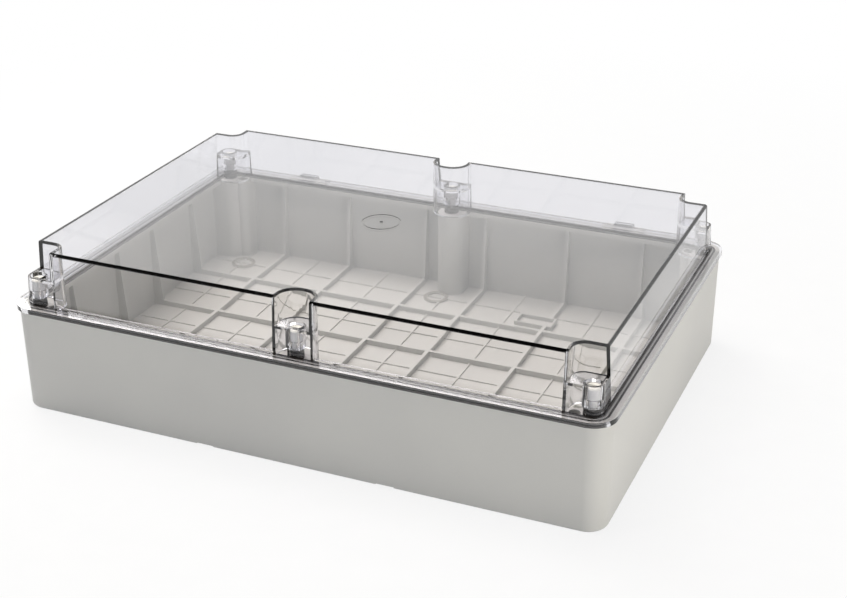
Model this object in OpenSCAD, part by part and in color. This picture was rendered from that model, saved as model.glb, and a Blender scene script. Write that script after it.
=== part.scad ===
// Wall-mounting enclosure with a deep clear lid, hinged along its back long side.
// The front looks along +Y, the underside lies on Z = 0 and the origin is the middle of the fixing holes.

/* [Base] */
// Length of the base along X, over the walls at the rim
base_length = 474; // [420:1:560]
// Width of the base along Y, over the walls at the rim
base_width = 326; // [290:1:400]
// Height of the base, from the underside to the sealing face
base_height = 84; // [64:1:140]
// Radius of the upright corners
corner_radius = 16; // [12:0.5:19]
// Thickness of the base's walls
base_wall = 3.5; // [2.5:0.1:5]
// How far each wall leans in from the rim to the underside
base_draft = 0.5; // [0.2:0.1:1.5]
// Radius of the edge between walls and underside
bottom_round = 3; // [1.5:0.25:4]
// Height of the hollow under the floor
floor_rise = 5; // [3:0.5:7]
// Thickness of the floor
floor_thickness = 3; // [2.5:0.25:4]
// Width of the ledge that carries the lid
rim_width = 12; // [11.5:0.5:14]
// Thickness of that ledge
rim_thickness = 4; // [3:0.5:6]
// Width of the vent notches under the long sides
notch_width = 15; // [8:1:24]
// Height of the vent notches
notch_height = 2; // [1:0.25:3]
// Distance of the vent notches from the middle
notch_x = 74; // [40:1:100]

/* [Floor and wall ribs] */
// Thickness of the floor ribs and wall ribs
rib_thickness = 3; // [1.6:0.1:3.4]
// Height of the floor ribs
rib_height = 4.5; // [3:0.5:9]
// Distance of the inner pair of cross ribs from the middle
rib_inner_x = 28.5; // [27:0.5:34]
// Distance of the second pair of cross ribs from the middle
rib_second_x = 104; // [90:1:115]
// Distance of the outer pair of cross ribs from the middle
rib_outer_x = 170.5; // [150:0.5:178]
// Distance of the inner pair of long ribs from the middle
rib_inner_y = 27; // [18:1:36]
// Distance of the outer pair of long ribs from the middle
rib_outer_y = 92; // [80:1:96]
// How far a wall rib stands out at the floor
rib_foot = 9; // [6:0.5:11]
// How far a wall rib stands out under the ledge
rib_head = 3.5; // [2:0.5:6]
// Thickness of the fine lines that halve the floor panels
line_thickness = 1.4; // [0.8:0.1:2]
// Height of those lines
line_height = 1; // [0.6:0.1:1.6]
// Outer radius of the two round marks on the floor
mark_radius = 11; // [8:0.5:12]
// Width of the raised band of a mark
mark_band = 3; // [1.5:0.5:5]
// Height of that band
mark_height = 1.4; // [0.8:0.1:2]
// Distance of the marks from the outer long rib
mark_gap = 21; // [8:0.5:22]
// Distance of the left mark from the outer cross rib
mark_side = 17; // [2:0.5:20]
// How far the other mark lies off the middle
mark_shift = 6; // [0:0.5:10]
// Length of the bare label frame
frame_length = 33; // [28:1:46]
// Width of the bare label frame
frame_width = 17; // [11:0.5:18]
// Distance of the frame from the outer long rib
frame_gap = 6; // [2:0.5:10]
// Distance of the frame's middle from the middle of the box, along X
frame_x = 93; // [60:1:140]

/* [Lid] */
// Height of the lid above the sealing face
lid_height = 48; // [40:1:70]
// Thickness of the lid's walls
lid_wall = 3; // [2:0.1:4]
// Thickness of the lid's top
lid_top = 3; // [2:0.1:4]
// How far the lid's walls stand back from the base's walls, at the flange
lid_inset = 7; // [6:0.25:8]
// How far each lid wall leans in from the flange to the top
lid_draft = 3; // [1:0.25:4]
// Radius of the lid's upper edges
lid_round = 2; // [0.6:0.1:2.4]
// How far the flange stands out past the base
flange_overhang = 2; // [0.5:0.25:3]
// Thickness of the flange
flange_thickness = 4; // [3.5:0.25:6]
// Outer radius of the moulded ring on the lid
gate_radius = 15.5; // [8:0.5:20]
// Width of that ring
gate_width = 1.2; // [0.6:0.1:2]
// Depth of that ring
gate_depth = 0.4; // [0.2:0.1:1]
// Radius of the moulding point in the ring's middle
gate_dot = 1.4; // [0.8:0.1:2.5]

/* [Screw pockets] */
// Distance of the screws from the base's long and short sides
screw_inset = 16; // [15.5:0.25:18]
// How far a pocket reaches from its screw towards the middle, along Y
pocket_reach = 13; // [10:0.25:14]
// How far a corner pocket reaches from its screw towards the middle, along X
pocket_side = 17; // [14:0.5:20]
// Half of the width of the two middle pockets
pocket_half = 14; // [13.5:0.5:18]
// Radius of the corner pockets' inner corners
pocket_round = 9; // [6:0.5:12]
// Radius of the middle pockets' inner corners
middle_round = 13; // [9:0.5:13]
// Thickness of the walls round the pockets
pocket_wall = 2.2; // [2:0.1:3]
// Height of the pocket floors above the sealing face
pocket_floor = 25; // [22:0.5:30]
// Thickness of the pocket floors
pocket_plate = 3; // [2:0.25:4]
// Wall of the base's pillars round the screw sockets
pillar_margin = 6; // [4.5:0.25:8]

/* [Seal] */
// Width of the seal
seal_width = 3; // [2:0.25:3]
// How far the seal reaches out past the foot of the lid's wall
seal_land = 1; // [0.5:0.1:1.2]
// Height of the seal
seal_height = 2.3; // [1.5:0.1:2.6]
// Depth of the groove that holds the seal
groove_depth = 3; // [2.7:0.1:3.2]
// Width of the ridge on the base that meets the seal
ridge_width = 1.2; // [0.8:0.1:1.6]
// Height of that ridge
ridge_height = 0.5; // [0.3:0.05:0.6]

/* [Lid screws] */
// Radius of a screw's head
head_radius = 5.2; // [4.5:0.1:5.6]
// Height of a screw's head
head_height = 8.5; // [7:0.5:12]
// Bevel of a screw's head
head_bevel = 0.8; // [0.4:0.1:1.2]
// How deep a head lies under its pocket's floor
head_sunk = 2.5; // [0.5:0.25:4]
// Radius of a screw's shank
shank_radius = 3.4; // [2.8:0.1:3.8]
// Width of the slot in a head
slot_width = 1.8; // [1:0.1:2.4]
// Depth of the slot in a head
slot_depth = 3; // [1.5:0.5:5]
// Radius of a screw's tip
tip_radius = 2.9; // [2.2:0.1:3]
// How far a tip reaches under the sealing face
tip_reach = 5; // [4:0.5:5.5]
// Free depth under a tip in its socket
tip_depth = 2; // [1:0.5:4]
// Radial play of a tip in its socket, so that the lid can swing
tip_play = 1.2; // [1.1:0.1:1.5]
// Thickness of the plate under a head
seat_plate = 5.5; // [2:0.25:6]
// Wall of the sleeve round a head
sleeve_wall = 1.6; // [1.2:0.1:1.8]
// Outer radius of the rubber ring on a shank
ring_radius = 6; // [5:0.25:7]
// Height of the rubber ring
ring_height = 7; // [4:0.5:8]
// Depth of the waist round the rubber ring
ring_waist = 0.8; // [0.4:0.1:1.2]
// Height of the rubber ring above the sealing face
ring_lift = 0.6; // [0.3:0.1:1]
// Outer radius of a screw socket in the base
socket_radius = 6; // [5.5:0.25:7]
// Height of a screw socket
socket_height = 14; // [10:1:20]

/* [Wall fixings] */
// Radius of a fixing hole
fixing_radius = 3.25; // [2.25:0.25:3.5]
// Radius of the well over a fixing hole
well_radius = 4.2; // [3.9:0.1:4.5]
// Wall round that well
well_wall = 2; // [1.6:0.1:3]
// Distance from a lid screw to its fixing hole
fixing_step = 12; // [11.5:0.25:14]
// Thickness of the foot that a wall screw holds, above the floor
foot_height = 6; // [3:0.5:12]

/* [Hinges] */
// Distance of the hinges from the middle
hinge_x = 150; // [110:1:165]
// Depth of the hinge axis under the sealing face
axis_drop = 4; // [3:0.25:7]
// Radius of the hinge knuckles
knuckle_radius = 5.1; // [4.5:0.1:5.6]
// Length of the lid's knuckle
knuckle_length = 16; // [12:1:24]
// Length of each of the base's two knuckles
ear_length = 9; // [6:1:12]
// Radius of a hinge pin
pin_radius = 2; // [1.5:0.1:2.4]
// Height of a hinge bracket on the back wall
bracket_height = 24; // [16:1:34]
// Thickness of a bracket and of a hinge arm
leaf_thickness = 3; // [2.5:0.25:4]

/* [Clearances] */
// Gap between pieces that turn past each other
running_gap = 0.4; // [0.3:0.05:0.6]
// Radial gap of a pin or sleeve in its hole
pin_gap = 0.05; // [0.02:0.01:0.09]
// Gap between a screw's head and its seat
seat_gap = 0.3; // [0.2:0.05:0.5]
// Gap between a bracket's top and the lid's flange
flange_gap = 1; // [0.5:0.25:2]

/* [Hidden] */

$fn = 48;
hull_fn = 32;
round_steps = 4;
sliver = 0.01;
past = 1;

half_x = base_length / 2;
half_y = base_width / 2;
floor_top = floor_rise + floor_thickness;
rim_bottom = base_height - rim_thickness;
total_height = base_height + lid_height;
flange_top = base_height + flange_thickness;
lid_under = total_height - lid_top;

screw_x = half_x - screw_inset;
screw_y = half_y - screw_inset;
fixing_x = screw_x - fixing_step;
pocket_top = base_height + pocket_floor;
head_top = pocket_top - head_sunk;
seat_top = head_top - head_height - seat_gap;
head_bore = head_radius + running_gap;
sleeve_radius = head_bore + sleeve_wall;
shank_bore = shank_radius + running_gap;
tip_bore = tip_radius + tip_play;
ring_bottom = base_height + ring_lift;
well_bottom = floor_top + foot_height;

wall_inner = lid_inset + lid_wall;
chamber_inset = wall_inner + lid_draft * pocket_floor / lid_height;
seal_inset = lid_inset - seal_land;
pillar_radius = socket_radius + pillar_margin;

mark_y = rib_outer_y + rib_thickness / 2 + mark_gap + mark_radius;
mark_x = rib_outer_x + rib_thickness / 2 + mark_side + mark_radius;
frame_y = rib_outer_y + rib_thickness + frame_gap + frame_width / 2;

axis_back = leaf_thickness + knuckle_radius + running_gap;
axis_y = half_y + axis_back;
axis_z = base_height - axis_drop;
ear_shift = knuckle_length / 2 + running_gap + ear_length / 2;
hinge_length = 2 * ear_shift + ear_length;

colour_base = "#B9BAB8";
colour_clear = [0.86, 0.87, 0.9, 0.35];
colour_screw = "#E4E4E2";
colour_rubber = "#1C1C1C";
colour_seal = "#8A8C8E";
colour_socket = "#2A2A2C";
colour_pin = "#C8C8C8";

// One quarter of the plan repeated in all four.
module each_quarter() {
    for (mx = [0, 1], my = [0, 1]) mirror([mx, 0, 0]) mirror([0, my, 0]) children();
}

// Front half repeated at the back.
module each_side() {
    for (my = [0, 1]) mirror([0, my, 0]) children();
}

// The outline of the base at its rim, drawn in by an inset.
module plan(inset = 0) {
    x = half_x - inset;
    y = half_y - inset;
    r = max(corner_radius - inset, 1);
    square([2 * x, 2 * (y - r)], center = true);
    square([2 * (x - r), 2 * y], center = true);
    each_quarter() translate([x - r, y - r]) circle(r);
}

// The six screw pockets, open to the outside, grown by a margin.
module pocket_plan(margin = 0) {
    r = pocket_round + margin;
    wide = middle_round + margin;
    near = screw_y - pocket_reach - margin;
    side = screw_x - pocket_side - margin;
    half = pocket_half + margin;
    far = half_y + past + margin;
    far_x = half_x + past + margin;
    each_side() {
        translate([-half, near + wide]) square([2 * half, far - near - wide]);
        translate([-(half - wide), near]) square([2 * (half - wide), wide + sliver]);
        for (s = [-1, 1]) translate([s * (half - wide), near + wide]) circle(wide);
    }
    each_quarter() {
        translate([side, near + r]) square([far_x - side, far - near - r]);
        translate([side + r, near]) square([far_x - side - r, r + sliver]);
        translate([side + r, near + r]) circle(r);
    }
}

// A column in plan, run out to the long wall behind it.
module column_plan(x, radius) {
    translate([x, screw_y]) circle(radius);
    translate([x - radius, screw_y]) square([2 * radius, screw_inset]);
}

// The base's pillars in plan: round the screws, and round the fixing holes beside them.
module pillar_plan() {
    each_side() column_plan(0, pillar_radius);
    each_quarter() {
        column_plan(screw_x, pillar_radius);
        column_plan(fixing_x, well_radius + well_wall);
        translate([screw_x, screw_y - pillar_radius])
            square([screw_inset, pillar_radius + screw_inset]);
    }
}

// The inside of the base in plan, clear of its pillars.
module base_room(inset) {
    difference() {
        plan(inset);
        pillar_plan();
    }
}

module slab(inset, z) {
    translate([0, 0, z]) linear_extrude(sliver) plan(inset, $fn = hull_fn);
}

// The six screws stand in two rows of three: column -1, 0 or 1 and row -1 or 1.
module at_screw(column, row) {
    translate([column * screw_x, row * screw_y, 0]) children();
}

module each_screw() {
    for (column = [-1, 0, 1], row = [-1, 1]) at_screw(column, row) children();
}

module each_fixing() {
    each_quarter() translate([fixing_x, screw_y, 0]) children();
}

// Solid block of the base, with leaning walls and a rounded lower edge.
module base_block() {
    hull() {
        slab(0, base_height - sliver);
        for (k = [0:round_steps]) {
            a = 90 * k / round_steps;
            slab(base_draft + bottom_round * (1 - sin(a)), bottom_round * (1 - cos(a)));
        }
    }
}

// Space between the floor and the ledge.
module base_hollow() {
    hull() {
        slab(base_wall, rim_bottom);
        slab(base_wall + base_draft, floor_top);
    }
}

module pillars() {
    linear_extrude(base_height) pillar_plan();
}

// A wall rib along +Y, its back against the wall at y = 0.
module wall_rib() {
    rise = rim_bottom - floor_rise;
    translate([rib_thickness / 2, 0, floor_rise]) rotate([90, 0, -90])
        linear_extrude(rib_thickness)
            polygon([[-base_wall, 0], [rib_foot, 0], [rib_foot, floor_thickness + rib_height],
                     [rib_head, rise], [-base_wall, rise]]);
}

module wall_ribs() {
    each_side() for (x = [rib_inner_x, rib_second_x, rib_outer_x], s = [-1, 1])
        translate([s * x, half_y - base_wall - base_draft, 0]) wall_rib();
    for (s = [0, 1]) mirror([s, 0, 0]) for (y = [rib_inner_y, rib_outer_y], t = [-1, 1])
        translate([half_x - base_wall - base_draft, t * y, 0]) rotate([0, 0, -90]) wall_rib();
}

// A grid of ribs or lines on the floor.
module floor_bars(xs, ys, thickness, height) {
    for (x = xs, s = [-1, 1])
        translate([s * x - thickness / 2, -half_y + base_wall, floor_rise])
            cube([thickness, base_width - 2 * base_wall, floor_thickness + height]);
    for (y = ys, s = [-1, 1])
        translate([-half_x + base_wall, s * y - thickness / 2, floor_rise])
            cube([base_length - 2 * base_wall, thickness, floor_thickness + height]);
}

module floor_ribs() {
    difference() {
        floor_bars([rib_inner_x, rib_second_x, rib_outer_x], [rib_inner_y, rib_outer_y],
                   rib_thickness, rib_height);
        label_recess();
    }
    floor_bars([0, (rib_inner_x + rib_second_x) / 2, (rib_second_x + rib_outer_x) / 2,
                (rib_outer_x + half_x - base_wall) / 2],
               [0, (rib_inner_y + rib_outer_y) / 2, (rib_outer_y + half_y - base_wall) / 2],
               line_thickness, line_height);
}

// Space inside the bare label frame.
module label_recess() {
    length = frame_length - rib_thickness;
    width = frame_width - rib_thickness;
    translate([frame_x - length / 2, frame_y - width / 2, floor_top + line_height])
        cube([length, width, rib_height + past]);
}

module label_frame() {
    difference() {
        translate([frame_x - frame_length / 2, frame_y - frame_width / 2, floor_rise])
            cube([frame_length, frame_width, floor_thickness + rib_height]);
        label_recess();
    }
}

// Plain round marks near the back pillars.
module floor_marks() {
    for (x = [-mark_shift, -mark_x])
        translate([x, mark_y, floor_rise]) difference() {
            cylinder(r = mark_radius, h = floor_thickness + mark_height);
            translate([0, 0, floor_thickness])
                cylinder(r = mark_radius - mark_band, h = mark_height + past);
        }
}

// A closed band in plan that runs along the foot of the lid's wall.
module ring_plan(inset, width) {
    difference() {
        plan(inset);
        plan(inset + width);
    }
}

module sealing_ridge() {
    side = (seal_width - ridge_width) / 2;
    translate([0, 0, base_height - past]) linear_extrude(ridge_height + past)
        ring_plan(seal_inset + side, ridge_width);
}

module base_shell() {
    color(colour_base) difference() {
        union() {
            base_block();
            sealing_ridge();
        }
        difference() {
            base_hollow();
            pillars();
            wall_ribs();
            floor_ribs();
            floor_marks();
            label_frame();
        }
        // mouth inside the ledge
        translate([0, 0, rim_bottom - sliver])
            linear_extrude(rim_thickness + past) base_room(rim_width);
        // hollow under the floor, clear of the pillars' feet
        translate([0, 0, -past]) linear_extrude(floor_rise + past)
            base_room(base_wall + base_draft + bottom_round);
        each_screw() translate([0, 0, base_height - socket_height])
            cylinder(r = socket_radius + pin_gap, h = socket_height + past);
        each_fixing() {
            translate([0, 0, -past]) cylinder(r = fixing_radius, h = well_bottom + 2 * past);
            translate([0, 0, well_bottom]) cylinder(r = well_radius, h = base_height);
        }
        // vent notches in the lower edge
        each_quarter() translate([notch_x - notch_width / 2, half_y - base_wall * 3, -past])
            cube([notch_width, base_wall * 4, notch_height + past]);
    }
}

// Solid block of the lid above the flange, with leaning walls and rounded upper edges.
module lid_block() {
    hull() {
        slab(lid_inset, base_height);
        for (k = [0:round_steps]) {
            a = 90 * k / round_steps;
            slab(lid_inset + lid_draft + lid_round * (1 - cos(a)),
                 total_height - sliver - lid_round * (1 - sin(a)));
        }
    }
}

module lid_hollow() {
    hull() {
        slab(wall_inner, flange_top - sliver);
        slab(wall_inner + lid_draft * (lid_under - base_height) / lid_height, lid_under - sliver);
    }
}

// Cored space under the pocket floors, left open at the bottom.
module pocket_chambers() {
    difference() {
        translate([0, 0, base_height - past]) linear_extrude(pocket_floor - pocket_plate + past)
            intersection() {
                pocket_plan();
                plan(chamber_inset);
            }
        each_screw() translate([0, 0, seat_top - seat_plate])
            cylinder(r = sleeve_radius, h = head_height + seat_plate + past);
    }
}

module screw_bores() {
    each_screw() {
        translate([0, 0, seat_top]) cylinder(r = head_bore, h = lid_height);
        translate([0, 0, base_height - past]) cylinder(r = shank_bore, h = lid_height);
        translate([0, 0, base_height - past])
            cylinder(r = ring_radius + running_gap, h = past + ring_lift + ring_height + running_gap);
    }
}

module gate_ring() {
    translate([0, 0, total_height - gate_depth]) difference() {
        cylinder(r = gate_radius, h = past);
        translate([0, 0, -past]) cylinder(r = gate_radius - gate_width, h = 3 * past);
    }
    translate([0, 0, total_height - 2 * gate_depth]) cylinder(r = gate_dot, h = past);
}

// The lid's mouth in plan, between the towers under its pockets.
module lid_mouth() {
    difference() {
        plan(rim_width);
        pocket_plan(pocket_wall);
    }
}

module lid_shell() {
    color(colour_clear) difference() {
        union() {
            lid_block();
            translate([0, 0, base_height]) linear_extrude(flange_thickness) plan(-flange_overhang);
        }
        difference() {
            lid_hollow();
            linear_extrude(total_height) pocket_plan(pocket_wall);
        }
        translate([0, 0, base_height - past])
            linear_extrude(flange_thickness + past + sliver) lid_mouth();
        translate([0, 0, pocket_top]) linear_extrude(lid_height) pocket_plan();
        pocket_chambers();
        translate([0, 0, base_height - past]) linear_extrude(groove_depth + past)
            ring_plan(seal_inset, seal_width);
        screw_bores();
        gate_ring();
    }
}

module lid_seal() {
    color(colour_seal) translate([0, 0, base_height + groove_depth - seal_height]) difference() {
        linear_extrude(seal_height) hull() plan(seal_inset + pin_gap);
        translate([0, 0, -past]) linear_extrude(seal_height + 2 * past)
            hull() plan(seal_inset + seal_width - pin_gap);
    }
}

// A slotted quarter-turn screw, seen from its own axis.
module lid_screw() {
    color(colour_screw) difference() {
        union() {
            translate([0, 0, head_top - head_height])
                cylinder(r = head_radius, h = head_height - head_bevel);
            translate([0, 0, head_top - head_bevel])
                cylinder(r1 = head_radius, r2 = head_radius - head_bevel, h = head_bevel);
            translate([0, 0, ring_bottom])
                cylinder(r = shank_radius, h = head_top - head_height / 2 - ring_bottom);
            translate([0, 0, base_height - tip_reach]) cylinder(r = tip_radius, h = lid_height / 2);
        }
        translate([-head_radius - past, -slot_width / 2, head_top - slot_depth])
            cube([2 * (head_radius + past), slot_width, slot_depth + past]);
    }
}

module screw_ring() {
    color(colour_rubber) translate([0, 0, ring_bottom]) rotate_extrude()
        polygon([[shank_radius + pin_gap, 0], [ring_radius, 0], [ring_radius, ring_height / 3],
                 [ring_radius - ring_waist, ring_height / 2], [ring_radius, ring_height * 2 / 3],
                 [ring_radius, ring_height], [shank_radius + pin_gap, ring_height]]);
}

module screw_socket() {
    color(colour_socket) translate([0, 0, base_height - socket_height]) difference() {
        cylinder(r = socket_radius, h = socket_height);
        translate([0, 0, socket_height - tip_reach - tip_depth])
            cylinder(r = tip_bore, h = tip_reach + tip_depth + past);
    }
}

// Places one hinge: its own X axis is the hinge axis.
module at_hinge(side) {
    translate([side * hinge_x, axis_y, axis_z]) children();
}

// A bar along X, centred, from an outline drawn in the Y-Z plane.
module along_x(length) {
    rotate([90, 0, 90]) translate([0, 0, -length / 2]) linear_extrude(length) children();
}

module pin_hole() {
    rotate([0, 90, 0]) cylinder(r = pin_radius + pin_gap, h = base_length / 4, center = true);
}

// A plate on the back wall that carries two knuckles.
module hinge_bracket() {
    top = axis_drop - flange_gap;
    color(colour_base) difference() {
        union() {
            along_x(hinge_length) translate([-axis_back, top - bracket_height])
                square([leaf_thickness, bracket_height]);
            for (s = [-1, 1]) translate([s * ear_shift, 0, 0]) {
                along_x(ear_length) circle(knuckle_radius);
                along_x(ear_length) polygon([[-axis_back, top - bracket_height],
                    [leaf_thickness - axis_back, top - bracket_height], [knuckle_radius, 0],
                    [-leaf_thickness, top], [-axis_back, top]]);
            }
        }
        pin_hole();
    }
}

// A clear lug on the flange's back edge, whose knuckle turns between the bracket's two.
module hinge_arm() {
    edge = flange_overhang - axis_back;
    seat = axis_drop + flange_thickness;
    color(colour_clear) difference() {
        union() {
            along_x(knuckle_length) circle(knuckle_radius);
            along_x(knuckle_length) polygon([[-knuckle_radius, 0], [-knuckle_radius, axis_drop],
                [edge, axis_drop], [edge, seat], [0, seat], [knuckle_radius, 0]]);
        }
        pin_hole();
    }
}

module hinge_pin() {
    color(colour_pin) rotate([0, 90, 0])
        cylinder(r = pin_radius, h = hinge_length, center = true);
}

base_shell();
lid_shell();
lid_seal();
at_hinge(-1) hinge_bracket();  // hinge_bracket_left
at_hinge(1) hinge_bracket();  // hinge_bracket_right
at_hinge(-1) hinge_arm();  // hinge_arm_left
at_hinge(1) hinge_arm();  // hinge_arm_right
at_hinge(-1) hinge_pin();  // hinge_pin_left
at_hinge(1) hinge_pin();  // hinge_pin_right
at_screw(-1, -1) lid_screw();  // lid_screw_front_left
at_screw(0, -1) lid_screw();  // lid_screw_front_middle
at_screw(1, -1) lid_screw();  // lid_screw_front_right
at_screw(-1, 1) lid_screw();  // lid_screw_back_left
at_screw(0, 1) lid_screw();  // lid_screw_back_middle
at_screw(1, 1) lid_screw();  // lid_screw_back_right
at_screw(-1, -1) screw_ring();  // screw_ring_front_left
at_screw(0, -1) screw_ring();  // screw_ring_front_middle
at_screw(1, -1) screw_ring();  // screw_ring_front_right
at_screw(-1, 1) screw_ring();  // screw_ring_back_left
at_screw(0, 1) screw_ring();  // screw_ring_back_middle
at_screw(1, 1) screw_ring();  // screw_ring_back_right
at_screw(-1, -1) screw_socket();  // screw_socket_front_left
at_screw(0, -1) screw_socket();  // screw_socket_front_middle
at_screw(1, -1) screw_socket();  // screw_socket_front_right
at_screw(-1, 1) screw_socket();  // screw_socket_back_left
at_screw(0, 1) screw_socket();  // screw_socket_back_middle
at_screw(1, 1) screw_socket();  // screw_socket_back_right
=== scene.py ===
import math

import bpy
from mathutils import Matrix, Vector


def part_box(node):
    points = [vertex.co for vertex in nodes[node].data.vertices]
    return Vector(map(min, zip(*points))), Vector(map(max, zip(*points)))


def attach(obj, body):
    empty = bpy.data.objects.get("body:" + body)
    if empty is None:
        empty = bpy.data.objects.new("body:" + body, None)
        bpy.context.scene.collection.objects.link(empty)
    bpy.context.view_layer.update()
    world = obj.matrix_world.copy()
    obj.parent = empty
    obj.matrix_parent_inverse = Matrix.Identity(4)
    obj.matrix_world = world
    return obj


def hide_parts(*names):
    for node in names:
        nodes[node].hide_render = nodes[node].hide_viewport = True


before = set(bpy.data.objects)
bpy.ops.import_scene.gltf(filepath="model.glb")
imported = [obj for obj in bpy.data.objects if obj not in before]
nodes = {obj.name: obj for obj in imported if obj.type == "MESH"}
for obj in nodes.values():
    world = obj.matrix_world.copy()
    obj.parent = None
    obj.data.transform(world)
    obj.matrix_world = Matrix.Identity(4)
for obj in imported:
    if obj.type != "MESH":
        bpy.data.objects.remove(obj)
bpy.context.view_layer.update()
print("frame loaded:", len(nodes), "nodes")

rows = ("front", "back")
columns = ("left", "middle", "right")
screwNames = [row + "_" + column for row in rows for column in columns]

samePlace = 0.00001  # metres, points nearer than this are one point
levelNormal = 0.9999  # a face whose normal is this upright counts as level
smoothingAngle = 35  # degrees, sharper edges stay creased
toneStops = (0.3, 0.7)  # where the darker tone ends and the lighter one begins
perMetre = 1000  # mm in a metre, divided by a pattern's size to give its scale


# Colours are written as sRGB hex values, and the shaders take them linear.
def linearColour(hexCode):
    channels = [int(hexCode[i:i + 2], 16) / 255 for i in (1, 3, 5)]
    return [c / 12.92 if c <= 0.04045 else ((c + 0.055) / 1.055) ** 2.4 for c in channels] + [1]


# Links go by a socket's name, or by its number where two sockets share a name.
def addNode(tree, kind, settings=None, links=None):
    node = tree.nodes.new(kind)
    for key, value in (settings or {}).items():
        if key in node.inputs:
            node.inputs[key].default_value = value
        else:
            setattr(node, key, value)
    for key, source in (links or {}).items():
        tree.links.new(source, node.inputs[key])
    return node


def newMaterial(name):
    material = bpy.data.materials.new(name)
    material.use_nodes = True
    material.node_tree.nodes.clear()
    return material, material.node_tree


# Two near tones of one colour, with a soft change between them.
def setTones(ramp, dark, light):
    stops = ramp.color_ramp.elements
    stops[0].position, stops[1].position = toneStops
    stops[0].color = linearColour(dark)
    stops[1].color = linearColour(light)
    return ramp.outputs["Color"]


def paint(piece, material):
    piece.data.materials.clear()
    piece.data.materials.append(material)
    for face in piece.data.polygons:
        face.material_index = 0


def deselectAll():
    if bpy.context.mode != "OBJECT":
        bpy.ops.object.mode_set(mode="OBJECT")
    bpy.ops.object.select_all(action="DESELECT")


def workOn(piece):
    deselectAll()
    bpy.context.view_layer.objects.active = piece
    piece.select_set(True)


# A copy of a solid with its loose triangles joined, ready to be smoothed.
def mergedCopy(nodeName, name):
    source = nodes[nodeName]
    piece = source.copy()
    piece.data = source.data.copy()
    piece.name = name
    piece.data.name = name
    piece.parent = None
    for key in list(piece.keys()):
        del piece[key]
    bpy.context.scene.collection.objects.link(piece)
    workOn(piece)
    bpy.ops.object.mode_set(mode="EDIT")
    bpy.ops.mesh.select_all(action="SELECT")
    bpy.ops.mesh.customdata_custom_splitnormals_clear()
    bpy.ops.mesh.remove_doubles(threshold=samePlace)
    bpy.ops.mesh.select_all(action="DESELECT")
    bpy.ops.object.mode_set(mode="OBJECT")
    return piece


# Level faces end in a crease at the rounds beside them, so that they mirror like flat sheet.
def creaseLevelFaces(piece):
    mesh = piece.data
    level = {}
    for face in mesh.polygons:
        for key in face.edge_keys:
            level.setdefault(key, []).append(abs(face.normal.z) > levelNormal)
    for edge in mesh.edges:
        sides = level.get(edge.key, [])
        if any(sides) and not all(sides):
            edge.use_edge_sharp = True


# Smooth over the rounds, with the large flat faces kept flat.
def smooth(piece):
    workOn(piece)
    bpy.ops.object.shade_smooth_by_angle(angle=math.radians(smoothingAngle))
    creaseLevelFaces(piece)
    bpy.ops.object.modifier_add(type="WEIGHTED_NORMAL")
    flatter = piece.modifiers[-1]
    flatter.mode = "FACE_AREA"
    flatter.keep_sharp = True
    flatter.weight = 100
    bpy.ops.object.modifier_apply(modifier=flatter.name)


# Polycarbonate blend, moulded in an eroded tool: warm grey, a fine even grain and a satin skin.
# The real grain is about 0.1 mm, and it is drawn some ten times coarser so that it shows.
greySkin = {
    "cloud": 111.11,  # mm across, clouds of tone from the flow of the melt
    "wear": 0.05,  # the roughness goes up and down by this much
    "relief": 0.12,
    "depth": 0.0002,
    "ior": 1.55,
}


def mouldedGrey(name, dark, light, grain, roughness):
    material, tree = newMaterial(name)
    place = addNode(tree, "ShaderNodeTexCoord").outputs["Object"]
    cloud = addNode(tree, "ShaderNodeTexNoise",
                    {"Scale": perMetre / greySkin["cloud"], "Detail": 2.0}, {"Vector": place})
    skin = addNode(tree, "ShaderNodeTexNoise",
                   {"Scale": perMetre / grain, "Detail": 3.0}, {"Vector": place})
    tones = addNode(tree, "ShaderNodeValToRGB", links={"Fac": cloud.outputs["Fac"]})
    wear = addNode(tree, "ShaderNodeMapRange",
                   {"To Min": roughness - greySkin["wear"], "To Max": roughness + greySkin["wear"]},
                   {"Value": skin.outputs["Fac"]})
    bump = addNode(tree, "ShaderNodeBump",
                   {"Strength": greySkin["relief"], "Distance": greySkin["depth"]},
                   {"Height": skin.outputs["Fac"]})
    shader = addNode(tree, "ShaderNodeBsdfPrincipled", {"IOR": greySkin["ior"]},
                     {"Base Color": setTones(tones, dark, light),
                      "Roughness": wear.outputs["Result"], "Normal": bump.outputs["Normal"]})
    addNode(tree, "ShaderNodeOutputMaterial", links={"Surface": shader.outputs["BSDF"]})
    return material


# Small plain mouldings of nylon, rubber or foam: one colour, faintly uneven.
smallSkin = {
    "mottle": 6.25,  # mm across
    "relief": 0.1,
    "depth": 0.0002,
    "ior": 1.53,
}


def smallMoulding(name, dark, light, roughness):
    material, tree = newMaterial(name)
    place = addNode(tree, "ShaderNodeTexCoord").outputs["Object"]
    mottle = addNode(tree, "ShaderNodeTexNoise",
                     {"Scale": perMetre / smallSkin["mottle"], "Detail": 2.0}, {"Vector": place})
    tones = addNode(tree, "ShaderNodeValToRGB", links={"Fac": mottle.outputs["Fac"]})
    bump = addNode(tree, "ShaderNodeBump",
                   {"Strength": smallSkin["relief"], "Distance": smallSkin["depth"]},
                   {"Height": mottle.outputs["Fac"]})
    shader = addNode(tree, "ShaderNodeBsdfPrincipled",
                     {"Roughness": roughness, "IOR": smallSkin["ior"]},
                     {"Base Color": setTones(tones, dark, light),
                      "Normal": bump.outputs["Normal"]})
    addNode(tree, "ShaderNodeOutputMaterial", links={"Surface": shader.outputs["BSDF"]})
    return material


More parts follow.
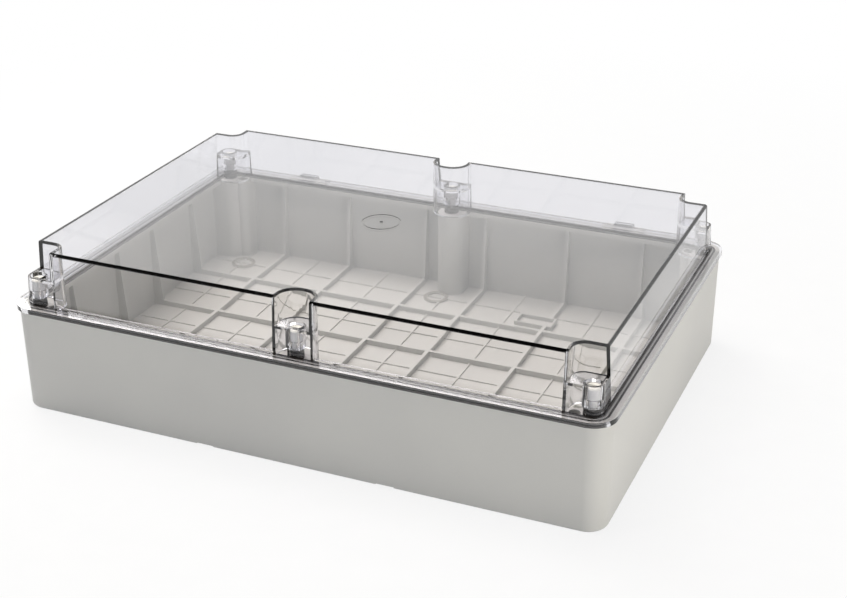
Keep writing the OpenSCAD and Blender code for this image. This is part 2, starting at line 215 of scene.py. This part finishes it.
# Base: one ribbed moulding. Its two round floor marks come off polished pins of the tool,
# glossier than the grain round them, and darker by painted shade: the shade of the recess round
# each mark.
baseValues = {
    "tones": {"dark": "#C8C8C5", "light": "#CECECA", "grain": 1.4, "roughness": 0.42},
    "rimZ": 0.084,
    "restGap": 0.0002,  # a hair of air under the clear flange
    # painted shade: the marks' darker tone stands in for the shade of the recess round them; the
    # lower roughness is polish
    "markShadeTones": {"dark": "#98958F", "light": "#A29F99", "grain": 1.4, "roughness": 0.25},
    "marks": ((-0.006, 0.1255), (-0.2, 0.1255)),
    "markRadius": 0.0115,
    "markTop": 0.0094,
    "markDepth": 0.0001,
    "markFacing": 0.9,  # the least upright part of a face's normal
}

baseFinish = mouldedGrey("moulded_grey_polycarbonate", **baseValues["tones"])
markPolishAndShade = mouldedGrey("polished_grey_with_painted_shade", **baseValues["markShadeTones"])


def isMark(face):
    if face.normal.z <= baseValues["markFacing"]:
        return False
    if abs(face.center.z - baseValues["markTop"]) >= baseValues["markDepth"]:
        return False
    return any(math.hypot(face.center.x - x, face.center.y - y) < baseValues["markRadius"]
               for x, y in baseValues["marks"])


baseBody = mergedCopy("base_shell", "base_moulding")
for point in baseBody.data.vertices:
    if abs(point.co.z - baseValues["rimZ"]) < samePlace:
        point.co.z -= baseValues["restGap"]
smooth(baseBody)
paint(baseBody, baseFinish)
# The mark faces get the glossier grey, darkened by painted shade.
baseBody.data.materials.append(markPolishAndShade)
for face in baseBody.data.polygons:
    if isMark(face):
        face.material_index = 1
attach(baseBody, "base")
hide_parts("base_shell")
print("base dressed")


# Lid: clear polycarbonate, injection moulded in a polished tool. It is faintly lavender,
# and warm grey where light runs a long way inside it.
lidValues = {
    "tint": "#F3F3F6",
    "shadowTint": "#F6F6F8",  # of light that falls through it
    "insideTint": "#9E9D98",
    "density": 6.0,
    "roughness": 0.02,
    "ior": 1.585,
    "flow": 71.43,  # mm, long waves from the flow of the melt
    "flowRelief": 0.02,
    "flowDepth": 0.002,
}


def clearMoulding(name):
    material, tree = newMaterial(name)
    place = addNode(tree, "ShaderNodeTexCoord").outputs["Object"]
    flow = addNode(tree, "ShaderNodeTexNoise",
                   {"Scale": perMetre / lidValues["flow"], "Detail": 1.0}, {"Vector": place})
    bump = addNode(tree, "ShaderNodeBump",
                   {"Strength": lidValues["flowRelief"], "Distance": lidValues["flowDepth"]},
                   {"Height": flow.outputs["Fac"]})
    shader = addNode(tree, "ShaderNodeBsdfPrincipled",
                     {"Base Color": linearColour(lidValues["tint"]),
                      "Roughness": lidValues["roughness"], "IOR": lidValues["ior"],
                      "Transmission Weight": 1.0}, {"Normal": bump.outputs["Normal"]})
    light = addNode(tree, "ShaderNodeBsdfTransparent",
                    {"Color": linearColour(lidValues["shadowTint"])})
    path = addNode(tree, "ShaderNodeLightPath")
    through = addNode(tree, "ShaderNodeMath", {"operation": "MAXIMUM"},
                      {0: path.outputs["Is Shadow Ray"], 1: path.outputs["Is Diffuse Ray"]})
    mix = addNode(tree, "ShaderNodeMixShader", links={
        0: through.outputs[0], 1: shader.outputs["BSDF"], 2: light.outputs["BSDF"]})
    inside = addNode(tree, "ShaderNodeVolumeAbsorption",
                     {"Color": linearColour(lidValues["insideTint"]),
                      "Density": lidValues["density"]})
    addNode(tree, "ShaderNodeOutputMaterial",
            links={"Surface": mix.outputs[0], "Volume": inside.outputs["Volume"]})
    return material


lidFinish = clearMoulding("clear_polycarbonate")
lidBody = mergedCopy("lid_shell", "clear_lid")
smooth(lidBody)
paint(lidBody, lidFinish)
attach(lidBody, "lid")
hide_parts("lid_shell")
print("lid dressed")


# Screws: nylon, moulded in a polished tool, off-white and slightly glossy.
screwTones = {"dark": "#DCDCD8", "light": "#EAEAE6", "roughness": 0.3}
# Sockets: nylon, moulded black, with a soft gloss on their edges.
socketTones = {"dark": "#1A1A1B", "light": "#262628", "roughness": 0.4}
# Rings on the shanks: moulded rubber, black and half dull.
ringTones = {"dark": "#101010", "light": "#1C1C1C", "roughness": 0.55}

screwFinish = smallMoulding("off_white_nylon", **screwTones)
socketFinish = smallMoulding("black_nylon", **socketTones)
ringFinish = smallMoulding("black_rubber", **ringTones)
for name in screwNames:
    paint(nodes["lid_screw_" + name], screwFinish)
    paint(nodes["screw_ring_" + name], ringFinish)
    paint(nodes["screw_socket_" + name], socketFinish)
print("screws dressed:", len(screwNames))


# Hinge brackets: the base's blend again, a little darker and finer in grain.
hingeTones = {"dark": "#C0C1BE", "light": "#C8C9C5", "grain": 1.2, "roughness": 0.38}
# Hinge pins: steel wire, drawn and bright, with fine lines along the pin. The real lines
# are a few hundredths of a mm wide, and they are drawn coarser so that they show.
pinValues = {
    "lineLength": 33.33,  # mm
    "lineWidth": 0.25,  # mm
    "dark": "#B4B5B4",
    "light": "#D2D2D0",
    "roughness": (0.22, 0.38),
}


def drawnSteel(name):
    material, tree = newMaterial(name)
    place = addNode(tree, "ShaderNodeTexCoord").outputs["Object"]
    along, across = perMetre / pinValues["lineLength"], perMetre / pinValues["lineWidth"]
    drawn = addNode(tree, "ShaderNodeMapping", {"Scale": (along, across, across)},
                    {"Vector": place})
    lines = addNode(tree, "ShaderNodeTexNoise", {"Scale": 1.0, "Detail": 2.0},
                    {"Vector": drawn.outputs["Vector"]})
    tones = addNode(tree, "ShaderNodeValToRGB", links={"Fac": lines.outputs["Fac"]})
    sheen = addNode(tree, "ShaderNodeMapRange",
                    {"To Min": pinValues["roughness"][0], "To Max": pinValues["roughness"][1]},
                    {"Value": lines.outputs["Fac"]})
    shader = addNode(tree, "ShaderNodeBsdfPrincipled", {"Metallic": 1.0},
                     {"Base Color": setTones(tones, pinValues["dark"], pinValues["light"]),
                      "Roughness": sheen.outputs["Result"]})
    addNode(tree, "ShaderNodeOutputMaterial", links={"Surface": shader.outputs["BSDF"]})
    return material


hingeFinish = mouldedGrey("moulded_grey_hinge", **hingeTones)
pinFinish = drawnSteel("drawn_steel")
for side in ("left", "right"):
    paint(nodes["hinge_bracket_" + side], hingeFinish)
    paint(nodes["hinge_arm_" + side], lidFinish)
    paint(nodes["hinge_pin_" + side], pinFinish)
print("hinges dressed")


# Seal: foam, poured as a cord into the lid's groove, dark brown grey and quite dull.
sealTones = {"dark": "#1C1917", "light": "#28231F", "roughness": 0.85}
# Its thin outer lip is a flat band pressed between the flange and the rim.
lipSizes = {
    "inset": 0.0034,
    "width": 0.0016,
    "corner": 0.0126,
    "cornerSegments": 10,
    "lift": 0.00004,
    "thickness": 0.0001,
}


def sealingLip(finish):
    low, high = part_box("base_shell")
    height = baseValues["rimZ"] - baseValues["restGap"] + lipSizes["lift"]
    length = high.x - low.x - 2 * lipSizes["inset"]
    depth = 2 * (-low.y - lipSizes["inset"])
    deselectAll()
    bpy.ops.mesh.primitive_plane_add(size=1, location=(0, 0, height))
    lip = bpy.context.object
    lip.name = "seal_lip"
    lip.data.name = "seal_lip"
    lip.scale = (length, depth, 1)
    bpy.ops.object.transform_apply(location=True, rotation=True, scale=True)
    bpy.ops.object.mode_set(mode="EDIT")
    bpy.ops.mesh.select_all(action="SELECT")
    bpy.ops.mesh.bevel(offset=lipSizes["corner"], segments=lipSizes["cornerSegments"],
                       affect="VERTICES")
    bpy.ops.mesh.select_all(action="SELECT")
    bpy.ops.mesh.inset(thickness=lipSizes["width"], use_boundary=True)
    bpy.ops.mesh.delete(type="FACE")  # the middle goes, and the band stays
    bpy.ops.object.mode_set(mode="OBJECT")
    bpy.ops.object.modifier_add(type="SOLIDIFY")
    thicker = lip.modifiers[-1]
    thicker.thickness = lipSizes["thickness"]
    thicker.offset = 1
    bpy.ops.object.modifier_apply(modifier=thicker.name)
    paint(lip, finish)
    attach(lip, "lid")
    print("seal lip:", len(lip.data.polygons), "faces")


sealFinish = smallMoulding("dark_foam", **sealTones)
paint(nodes["lid_seal"], sealFinish)
sealingLip(sealFinish)
print("seal dressed")


# Studio: a pale paper table in a white room, lit by soft boxes.
studio = {
    "floorSize": 9.0,
    "floorTones": ("#CDD0D5", "#D2D5DA"),
    "fibre": 25.0,  # mm across, clouds in the paper
    "daylight": 0.16,
    "daylightColour": "#EEF2F8",
    "paperShare": (0.84, 1.0),  # how white the paper looks near the box and far off
    "paperReach": (0.35, 1.0),  # metres from the middle of the box
    "ceilingEdge": (0.43, 0.56),  # heights on the room's sphere
    "ceilingShade": 0.05,
    "roomEdge": (-0.25, -0.75),  # towards the front
    "roomShade": 0.1,
    "aim": (0, 0, 0.06),
    "mirrored": ("strip_softbox", "side_softbox"),  # the only lamps that gloss shows
    "lamps": {
        "strip": {"place": (-1.1, 1.9, 1.37), "size": (1.5, 0.16), "roll": -14,
                  "power": 2.8, "colour": "#FFFCF6"},
        "window": {"place": (-1.3, 0.8, 1.6), "size": (1.2, 1.2), "roll": 0,
                   "power": 32, "colour": "#FFFAF0"},
        "top": {"place": (-0.3, 0.0, 1.9), "size": (1.5, 1.5), "roll": 0,
                "power": 40, "colour": "#FFF6EA"},
        "side": {"place": (1.25, -0.5, 0.2), "size": (0.8, 0.3), "roll": 0,
                 "power": 7, "colour": "#FFFAF2"},
        "front": {"place": (-0.4, -2.3, 0.3), "size": (1.8, 0.5), "roll": 0,
                  "power": 4.5, "colour": "#DDE9FF"},
    },
}


def softbox(name, place, size, roll, power, colour):
    deselectAll()
    bpy.ops.object.light_add(type="AREA", location=place)
    lamp = bpy.context.object
    lamp.name = name
    lamp.data.shape = "RECTANGLE"
    lamp.data.size, lamp.data.size_y = size
    lamp.data.energy = power
    lamp.data.color = linearColour(colour)[:3]
    aim = (Vector(studio["aim"]) - Vector(place)).to_track_quat("-Z", "Y")
    rolled = aim.to_matrix() @ Matrix.Rotation(math.radians(roll), 3, "Z")
    lamp.rotation_euler = rolled.to_euler()
    lamp.visible_glossy = name in studio["mirrored"]
    lamp.visible_transmission = name in studio["mirrored"]


# One where gloss or the clear lid looks on, and nought elsewhere.
def mirroredRays(tree, path):
    return addNode(tree, "ShaderNodeMath", {"operation": "MAXIMUM"}, {
        0: path.outputs["Is Glossy Ray"], 1: path.outputs["Is Transmission Ray"]}).outputs[0]


# The camera's own rays count in full, and mirrored ones by the share given.
def seenRays(tree, path, share=None):
    mirrored = mirroredRays(tree, path)
    if share is not None:
        mirrored = addNode(tree, "ShaderNodeMath", {"operation": "MULTIPLY"},
                           {0: mirrored, 1: share}).outputs[0]
    return addNode(tree, "ShaderNodeMath", {"operation": "MAXIMUM"},
                   {0: path.outputs["Is Camera Ray"], 1: mirrored}).outputs[0]


# White all round, with a darker ceiling and a darker room in front of the table.
def roomTone(tree):
    around = addNode(tree, "ShaderNodeTexCoord").outputs["Generated"]
    way = addNode(tree, "ShaderNodeSeparateXYZ", links={"Vector": around})
    ceiling = addNode(tree, "ShaderNodeMapRange",
                      {"From Min": studio["ceilingEdge"][0], "From Max": studio["ceilingEdge"][1],
                       "To Min": 1.0, "To Max": studio["ceilingShade"]},
                      {"Value": way.outputs["Z"]})
    room = addNode(tree, "ShaderNodeMapRange",
                   {"From Min": studio["roomEdge"][0], "From Max": studio["roomEdge"][1],
                    "To Min": 1.0, "To Max": studio["roomShade"]},
                   {"Value": way.outputs["Y"]})
    return addNode(tree, "ShaderNodeMath", {"operation": "MULTIPLY"},
                   {0: ceiling.outputs["Result"], 1: room.outputs["Result"]}).outputs[0]


# Paper, uncoated: pale and dull. It looks white far off and keeps the shadow near the box.
def paperFloor(name):
    material, tree = newMaterial(name)
    place = addNode(tree, "ShaderNodeTexCoord").outputs["Object"]
    fibre = addNode(tree, "ShaderNodeTexNoise",
                    {"Scale": perMetre / studio["fibre"], "Detail": 2.0}, {"Vector": place})
    tones = addNode(tree, "ShaderNodeValToRGB", links={"Fac": fibre.outputs["Fac"]})
    paper = addNode(tree, "ShaderNodeBsdfDiffuse",
                    links={"Color": setTones(tones, *studio["floorTones"])})
    bright = addNode(tree, "ShaderNodeEmission", {"Color": (1, 1, 1, 1), "Strength": 1.0})
    reach = addNode(tree, "ShaderNodeVectorMath", {"operation": "LENGTH"}, {0: place})
    fade = addNode(tree, "ShaderNodeMapRange",
                   {"From Min": studio["paperReach"][0], "From Max": studio["paperReach"][1],
                    "To Min": studio["paperShare"][0], "To Max": studio["paperShare"][1]},
                   {"Value": reach.outputs["Value"]})
    seen = seenRays(tree, addNode(tree, "ShaderNodeLightPath"))
    share = addNode(tree, "ShaderNodeMath", {"operation": "MULTIPLY"},
                    {0: seen, 1: fade.outputs["Result"]})
    mix = addNode(tree, "ShaderNodeMixShader", links={
        0: share.outputs[0], 1: paper.outputs["BSDF"], 2: bright.outputs["Emission"]})
    addNode(tree, "ShaderNodeOutputMaterial", links={"Surface": mix.outputs[0]})
    return material


# Daylight reaches the box from all sides, and the white room is only there to be seen.
def whiteRoom(name):
    world = bpy.data.worlds.new(name)
    world.use_nodes = True
    tree = world.node_tree
    tree.nodes.clear()
    light = addNode(tree, "ShaderNodeBackground",
                    {"Color": linearColour(studio["daylightColour"]),
                     "Strength": studio["daylight"]})
    dark = addNode(tree, "ShaderNodeBackground", {"Color": (0, 0, 0, 1), "Strength": 0.0})
    white = addNode(tree, "ShaderNodeBackground", {"Color": (1, 1, 1, 1), "Strength": 1.0})
    path = addNode(tree, "ShaderNodeLightPath")
    lit = addNode(tree, "ShaderNodeMixShader", links={
        0: mirroredRays(tree, path), 1: light.outputs["Background"],
        2: dark.outputs["Background"]})
    mix = addNode(tree, "ShaderNodeMixShader", links={
        0: seenRays(tree, path, roomTone(tree)), 1: lit.outputs[0],
        2: white.outputs["Background"]})
    addNode(tree, "ShaderNodeOutputWorld", links={"Surface": mix.outputs[0]})
    return world


def buildStudio():
    deselectAll()
    bpy.ops.mesh.primitive_plane_add(size=studio["floorSize"], location=(0, 0, 0))
    floor = bpy.context.object
    floor.name = "floor"
    paint(floor, paperFloor("white_paper_floor"))
    bpy.context.scene.world = whiteRoom("pale_studio")
    for name, lamp in studio["lamps"].items():
        softbox(name + "_softbox", **lamp)
    print("studio built:", len(studio["lamps"]), "soft boxes")


cameraValues = {
    "sensorWidth": 36,
    "lens": 65.53,
    "place": (0.4705, -1.015, 0.5953),
    "right": (0.91979, 0.3924, -0.00301),
    "up": (-0.16567, 0.39525, 0.90351),
    "back": (0.35572, -0.83054, 0.42856),
}


def buildCamera():
    deselectAll()
    bpy.ops.object.camera_add()
    camera = bpy.context.object
    camera.name = "product_camera"
    camera.data.sensor_width = cameraValues["sensorWidth"]
    camera.data.lens = cameraValues["lens"]
    axes = Matrix([cameraValues[side] for side in ("right", "up", "back")])
    turn = axes.transposed().to_4x4()
    camera.matrix_world = Matrix.Translation(cameraValues["place"]) @ turn
    bpy.context.scene.camera = camera
    print("camera set")


buildStudio()
buildCamera()
bpy.context.scene.view_settings.view_transform = "Standard"
